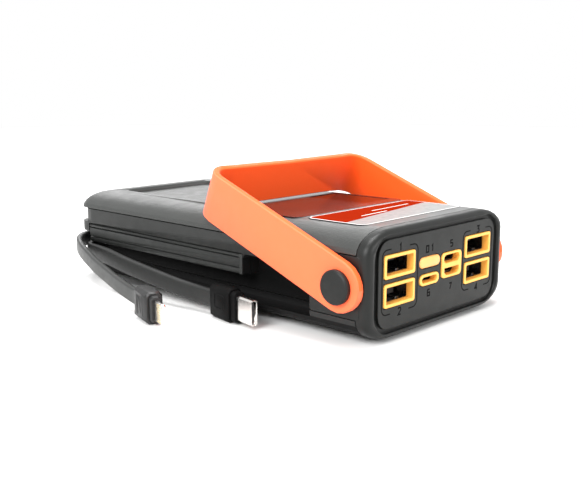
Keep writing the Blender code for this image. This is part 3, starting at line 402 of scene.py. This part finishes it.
def cable_rings(points, high, ribs_from):
    """Rings of a flat cable on edge, its upper edge ribbed from that share of its length on."""
    thick = CABLE_THICK / 2
    half = high / 2
    profile = ((1, 0.62), (0.93, 0.86), (0.62, 0.985), (0, 1), (-0.62, 0.985), (-0.93, 0.86), (-1, 0.62),
               (-1, -0.62), (-0.93, -0.86), (-0.62, -0.985), (0, -1), (0.62, -0.985), (0.93, -0.86),
               (1, -0.62))
    rings = []
    total = length_of(points)
    gone = 0.0
    for i, here in enumerate(points):
        run = points[min(i + 1, len(points) - 1)] - points[max(i - 1, 0)]
        run.z = 0
        run.normalize()
        side = Vector((run.y, -run.x, 0))
        if i:
            gone += (here - points[i - 1]).length
        rib = 0.0
        if gone > ribs_from * total and gone < total - 0.002:
            rib = RIB_DEEP * (0.5 - 0.5 * math.cos(2 * math.pi * gone / RIB_PITCH))
        ring = []
        for off, lift in profile:
            drop = rib if lift > 0.8 else 0.0
            ring.append(here + side * (off * thick) + Vector((0, 0, lift * half - drop)))
        rings.append(ring)
    return rings


def make_cables(looks):
    """The two cables, each a flat cord that replaces its CAD node."""
    for name, route, high, look, ribs in (("cable_inner", INNER_ROUTE, INNER_HIGH, "cable_dark", RIBS_FROM),
                                          ("cable_outer", OUTER_ROUTE, OUTER_HIGH, "cable_pale", NO_RIBS)):
        points = spine([(x, at(y), z) for x, y, z in route], 0.0003 if ribs < 1 else 0.0010)
        rings = cable_rings(points, high, ribs)
        obj = new_piece(name + "_skin", loft(rings), looks[look], "body", 50.0)
        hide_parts(name)


PLUGS = {"c": ((-0.0409, 0.0599), (-0.167, -0.986)), "l": ((-0.0581, 0.07715), (-0.31, -0.95))}


def beside_plug(kind, half):
    """Maps (along, height, proud) to a point on the plug's outer side face."""
    (x, depth), (wx, wy) = PLUGS[kind]
    long = math.hypot(wx, wy)
    wx, wy = wx / long, wy / long

    def place(along, z, proud):
        side = half + proud
        return Vector((x + wx * along + wy * side, at(depth) + wy * along - wx * side, z))

    return place


def make_plugs(looks):
    """The plugs, by node, with relief on their housings and contacts on the phone-type tongue."""
    plug_pieces = {}
    for node, look, slot in (("plug_housing_c", "plug", "plug"), ("plug_collar_c", "plug", "plug"),
                             ("plug_shell_c", "plug_metal", "plug_metal"),
                             ("plug_core_c", "port_core", "port_core"),
                             ("plug_housing_l", "plug_outer", "plug"),
                             ("plug_collar_l", "plug_outer", "plug"),
                             ("plug_tongue_l", "plug_metal", "plug_metal")):
        plug_pieces[node] = restyle(node, looks[look], angle=40.0)
    frame_line = [[(0.0034, 0.0042), (0.0089, 0.0042), (0.0089, 0.0087), (0.0034, 0.0087), (0.0034, 0.0042)]]
    bm = raised(strokes(frame_line, 0.00022), beside_plug("c", HOUSING_C_HALF), -0.00005, 0.00007)
    new_piece("plug_c_frame", bm, looks["plug"], "body")
    chevrons = [[(0.0030, 0.0022), (0.0030, 0.0086)], [(0.0040, 0.0022), (0.0040, 0.0086)],
                [(0.0048, 0.0086), (0.0064, 0.0030), (0.0080, 0.0086)],
                [(0.0058, 0.0086), (0.0064, 0.0062), (0.0070, 0.0086)],
                [(0.0084, 0.0022), (0.0084, 0.0086)]]
    bm = raised(strokes(chevrons, 0.00024), beside_plug("l", HOUSING_L_HALF), -0.00005, 0.00008)
    new_piece("plug_l_chevrons", bm, looks["plug_outer"], "body")
    pads = []
    for i in range(8):
        z = 0.0024 + i * 0.00078
        pads.append([(0.0158, z), (0.0192, z)])
    bm = raised(strokes(pads, 0.00042), beside_plug("l", TONGUE_L_HALF), -0.00003, 0.00003)
    new_piece("plug_l_pads", bm, looks["contact"], "body")
    return plug_pieces


# Panel marks

FRAME_PEN = 0.00036
DIGIT_PEN = 0.00046
PORT_DIGIT = 0.0021
INPUT_DIGIT = 0.0020
DIGITS = {
    "0": [[(0, 0), (0.6, 0), (0.6, 1), (0, 1), (0, 0)]],
    "1": [[(0.1, 0.78), (0.32, 1), (0.32, 0)]],
    "2": [[(0, 0.85), (0.1, 1), (0.5, 1), (0.6, 0.85), (0.6, 0.62), (0, 0), (0.6, 0)]],
    "3": [[(0, 1), (0.6, 1), (0.3, 0.58), (0.6, 0.42), (0.6, 0.12), (0.48, 0), (0, 0)]],
    "4": [[(0.48, 0), (0.48, 1), (0, 0.3), (0.66, 0.3)]],
    "5": [[(0.6, 1), (0, 1), (0, 0.56), (0.46, 0.56), (0.6, 0.44), (0.6, 0.12), (0.48, 0), (0, 0)]],
    "6": [[(0.6, 1), (0.14, 1), (0, 0.86), (0, 0), (0.6, 0), (0.6, 0.54), (0, 0.54)]],
    "7": [[(0, 1), (0.6, 1), (0.2, 0)]],
}


def number(text, x, z, high, gap=0.9):
    """Pen lines of a plain number in the middle of (x, z)."""
    step = high * gap
    left = x - (step * (len(text) - 1) + 0.6 * high) / 2
    lines = []
    for i, digit in enumerate(text):
        for line in DIGITS[digit]:
            lines.append([(left + i * step + u * high, z - high / 2 + v * high) for u, v in line])
    return lines


def bracket(x0, x1, z0, z1, radius, gap):
    """Two half frames that leave a gap in the middle of the top and of the bottom."""
    middle = (x0 + x1) / 2
    lines = []
    for side, edge in ((-1, x0), (1, x1)):
        line = [(middle + side * gap, z0)]
        for i in range(7):
            turn = math.pi / 2 * i / 6
            x = edge - side * radius + side * radius * math.sin(turn)
            line.append((x, z0 + radius - radius * math.cos(turn)))
        for i in range(7):
            turn = math.pi / 2 * i / 6
            x = edge - side * radius + side * radius * math.cos(turn)
            line.append((x, z1 - radius + radius * math.sin(turn)))
        line.append((middle + side * gap, z1))
        lines.append(line)
    return lines


def make_panel_marks(looks):
    """Frames round the USB pairs, and a plain number at each port and at the button."""
    lines = []
    lines += bracket(-0.0298, -0.0122, 0.0088, 0.0284, 0.0021, 0.0046)
    lines += bracket(0.01275, 0.03025, 0.0088, 0.0284, 0.0021, 0.0046)
    thin = strokes(lines, FRAME_PEN)
    digits = []
    for text, x, z in (("1", -0.0210, 0.0284), ("2", -0.0210, 0.0088), ("3", 0.0215, 0.0284),
                       ("4", 0.0215, 0.0088)):
        digits += number(text, x, z, PORT_DIGIT)
    for text, x, z in (("01", -0.0058, 0.0258), ("5", 0.0061, 0.0258), ("6", -0.0060, 0.0118),
                       ("7", 0.0061, 0.0118)):
        digits += number(text, x, z, INPUT_DIGIT, 1.35)
    bold = strokes(digits, DIGIT_PEN)

    def place(x, z, proud):
        return Vector((x, FRONT - proud, z))

    new_piece("panel_marks", raised(thin + bold, place, -0.00004, 0.00003), looks["ink"], "body")


# Label

BORDER_INSET = 0.00022
FIELD_INSET = 0.00062
BAR_WIDE = 0.00045
LABEL_SINK = 0.0001


def lid_line(node):
    """The height of a lid plate's top, as a function of y."""
    low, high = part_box(node)
    front = max(v.co.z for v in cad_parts[node].data.vertices if v.co.y < low.y + 0.004)
    back = max(v.co.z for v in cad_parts[node].data.vertices if v.co.y > high.y - 0.004)
    span = (high.y - low.y)
    return lambda y: front + (back - front) * (y - low.y) / span


def clipped(outline, keep):
    """The part of the outline where keep(x, y) is positive."""
    made = []
    for i, here in enumerate(outline):
        after = outline[(i + 1) % len(outline)]
        a, b = keep(*here), keep(*after)
        if a >= 0:
            made.append(here)
        if (a >= 0) != (b >= 0):
            t = a / (a - b)
            made.append((here[0] + (after[0] - here[0]) * t, here[1] + (after[1] - here[1]) * t))
    return made


def plate(outline, height, low, high):
    """A thin plate over the outline, between two heights above the surface."""
    return loft([[Vector((x, y, height(y) + low)) for x, y in outline],
                 [Vector((x, y, height(y) + high)) for x, y in outline]])


def make_label(looks):
    """The label on the lid: a white border round a red and a grey field, and two white bars."""
    low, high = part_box("front_label")
    height = lid_line("front_label")
    restyle("front_label", looks["label_black"])

    def inner(inset, radius):
        return rounded(low.x + inset, high.x - inset, low.y + inset, high.y - inset, radius)

    border = plate(inner(BORDER_INSET, 0.0026), height, -LABEL_SINK, 0.00002)
    new_piece("label_border", border, looks["label_white"], "body")
    field = inner(FIELD_INSET, 0.0022)

    def behind(x, y):
        """How far behind the slanting line between the two fields a point lies."""
        return (y - at(0.0166)) - (x + 0.0279) * (0.0084 / 0.0549)

    red = plate(clipped(field, behind), height, -LABEL_SINK, 0.00004)
    new_piece("label_red", red, looks["label_red"], "body")
    grey = plate(clipped(field, lambda x, y: -behind(x, y)), height, -LABEL_SINK, 0.00004)
    new_piece("label_grey", grey, looks["label_grey"], "body")
    bars = []
    for i, (x0, x1) in enumerate(((-0.0130, 0.0010), (-0.0020, 0.0190))):
        y = at(0.0215 + 0.0045 * i)
        bars.append([(x0, y), (x1, y + 0.0008)])

    def place(x, y, proud):
        return Vector((x, y, height(y) + proud))

    new_piece("label_bars", raised(strokes(bars, BAR_WIDE), place, 0.0, 0.00006), looks["label_white"], "body")


# Port details

CONTACT_PITCH = 0.0024
CONTACT_HALF = 0.0005
SPRING_HALF = 0.0009

def boxes(parts):
    """Blocks with softened edges, as one mesh."""
    bm = bmesh.new()
    for low, high in parts:
        centre = (Vector(low) + Vector(high)) / 2
        size = Vector(high) - Vector(low)
        matrix = Matrix.Translation(centre) @ Matrix.Diagonal((*size, 1.0))
        made = bmesh.ops.create_cube(bm, size=1.0, matrix=matrix)
        edges = {edge for vert in made["verts"] for edge in vert.link_edges}
        bmesh.ops.bevel(bm, geom=list(edges), offset=min(size) * 0.18, segments=2, affect="EDGES",
                        profile=0.5)
    return bm


def make_ports(looks):
    """The port frames, shells and tongues, with contacts on the USB tongues and springs in their shells."""
    for i in range(1, 5):
        restyle(f"usb_bezel_{i}", looks["trim"])
        restyle(f"usb_receptacle_{i}", looks["port_metal"])
        restyle(f"usb_tongue_{i}", looks["port_core"])
        low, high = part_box(f"usb_tongue_{i}")
        shell_low, shell_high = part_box(f"usb_receptacle_{i}")
        middle = (shell_low.z + shell_high.z) / 2
        x = (low.x + high.x) / 2
        up = i in (1, 3)
        face = middle - 0.0002 if up else middle + 0.0002
        turn = -1 if up else 1
        strips = []
        for k in range(4):
            cx = x + (k - 1.5) * CONTACT_PITCH
            strips.append(((cx - CONTACT_HALF, low.y + 0.0006, min(face, face + turn * 0.00025)),
                           (cx + CONTACT_HALF, low.y + 0.0075, max(face, face + turn * 0.00025))))
        new_piece(f"usb_contacts_{i}", boxes(strips), looks["contact"], "body")
        springs = []
        for k in (-1, 1):
            cx = x + k * 0.0031
            near, far = shell_low.y + 0.0008, shell_low.y + 0.0050
            for bottom, top in ((middle - 0.0026, middle - 0.00215), (middle + 0.00215, middle + 0.0026)):
                springs.append(((cx - SPRING_HALF, near, bottom), (cx + SPRING_HALF, far, top)))
        new_piece(f"usb_springs_{i}", boxes(springs), looks["port_metal"], "body")
    for node in ("twin_bezel", "phone_bezel"):
        restyle(node, looks["trim"])
    for node in ("type_c_receptacle", "micro_receptacle", "phone_receptacle"):
        restyle(node, looks["port_metal"])
    restyle("power_button", looks["button"], body="button", angle=50.0)


def make_body(looks):
    """The shells, the cover parts, the strap and the screws. The cable channel and the rail's front ends are
    painted darker as painted shade, and the strap's outer faces paler as painted light.
    """

    # Faces in the cable channel and behind it take the darker second look: painted shade.
    def recessed(face):
        centre = face.calc_center_median()
        inside = -0.0366 < centre.x < -0.020 and centre.z < 0.0216 and at(0.0215) < centre.y < at(0.1380)
        behind = centre.y > at(0.1370) and centre.z < 0.0180 and abs(face.normal.y) < 0.99
        return 1 if inside or behind else 0

    for node, look in (("middle_frame", "shell_side"), ("bottom_cover", "shell_bottom")):
        restyle(node, [looks[look], looks["recess"]], paint=recessed)
    for node, look in (("top_shell", "shell_top"), ("port_cap", "cap"), ("gloss_panel", "gloss"),
                       ("display_lens", "display"), ("lamp_lens", "lens"), ("cable_gland", "gland"),
                       ("pivot_cap_left", "pivot"), ("pivot_cap_right", "pivot")):
        restyle(node, looks[look])
    # The rail's front-facing faces take the darker second look: painted shade.
    restyle("side_rail", [looks["rail"], looks["recess"]],
            paint=lambda face: int(face.normal.y < -0.8))
    low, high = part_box("strap")
    middle = Vector(((low.x + high.x) / 2, low.y, (low.z + high.z) / 2))

    # The strap's outer faces take the paler second look: painted light.
    def outward_painted_light(face):
        away = face.calc_center_median() - middle
        return 0 if face.normal.dot(away) < 0 else 1

    restyle("strap", [looks["strap"], looks["strap_outer_painted_light"]], body="strap", angle=40.0, paint=outward_painted_light)
    for i in range(1, 5):
        restyle(f"case_screw_{i}", looks["screw_steel"])


INSIDE = {"display_board": "board", "display_module": "digits", "main_board": "board", "board_coil": "coil",
          "board_capacitor": "can", "cell_lower": "cell", "cell_middle": "cell", "cell_upper": "cell",
          "foam_pad_lower": "foam", "foam_pad_upper": "foam", "lamp_board": "lamp_board",
          "button_switch": "switch",
          "pivot_screw_left": "screw_steel", "pivot_screw_right": "screw_steel"}


def make_inside(looks):
    """A material on each CAD node that stays as it is."""
    for node, look in INSIDE.items():
        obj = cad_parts[node]
        obj.data.materials.clear()
        obj.data.materials.append(looks[look].material)


# Stage


def make_stage():
    """A pale floor, a white world and four area lights."""
    bm = bmesh.new()
    bmesh.ops.create_circle(bm, cap_ends=True, segments=64, radius=1.0)
    mesh = bpy.data.meshes.new("floor")
    bm.to_mesh(mesh)
    bm.free()
    floor = bpy.data.objects.new("floor", mesh)
    material = bpy.data.materials.new("floor")
    material.use_nodes = True
    shader = material.node_tree.nodes["Principled BSDF"]
    shader.inputs["Base Color"].default_value = (0.69, 0.69, 0.685, 1.0)
    shader.inputs["Roughness"].default_value = 0.9
    shader.inputs["Specular IOR Level"].default_value = 0.1
    mesh.materials.append(material)
    bpy.context.scene.collection.objects.link(floor)
    world = bpy.data.worlds.new("studio")
    world.use_nodes = True
    world.node_tree.nodes["Background"].inputs["Color"].default_value = (1.0, 1.0, 1.0, 1.0)
    world.node_tree.nodes["Background"].inputs["Strength"].default_value = 1.0
    bpy.context.scene.world = world
    for name, place, aim, wide, high, power in (
            ("key", (-0.85, -0.15, 0.62), (0, 0, 0.02), 0.6, 0.5, 14.0),
            ("top", (0.10, 0.10, 1.10), (0, 0, 0.0), 0.5, 0.5, 14.0),
            ("front", (0.35, -1.10, 0.45), (0, 0.02, 0.03), 0.6, 0.4, 6.5),
            ("back", (0.75, 0.80, 0.50), (0, 0, 0.03), 0.9, 0.3, 3.2)):
        data = bpy.data.lights.new(name, "AREA")
        data.shape = "RECTANGLE"
        data.size = wide
        data.size_y = high
        data.energy = power
        light = bpy.data.objects.new(name, data)
        light.location = place
        light.rotation_euler = (Vector(aim) - Vector(place)).to_track_quat("-Z", "Y").to_euler()
        bpy.context.scene.collection.objects.link(light)
    bpy.context.scene.view_settings.view_transform = "Standard"
    bpy.context.scene.view_settings.look = "None"


def main():
    make_camera()
    looks = make_looks()
    plug_pieces = make_plugs(looks)
    make_cables(looks)
    make_body(looks)
    make_ports(looks)
    make_label(looks)
    make_panel_marks(looks)
    make_inside(looks)
    make_stage()


main()
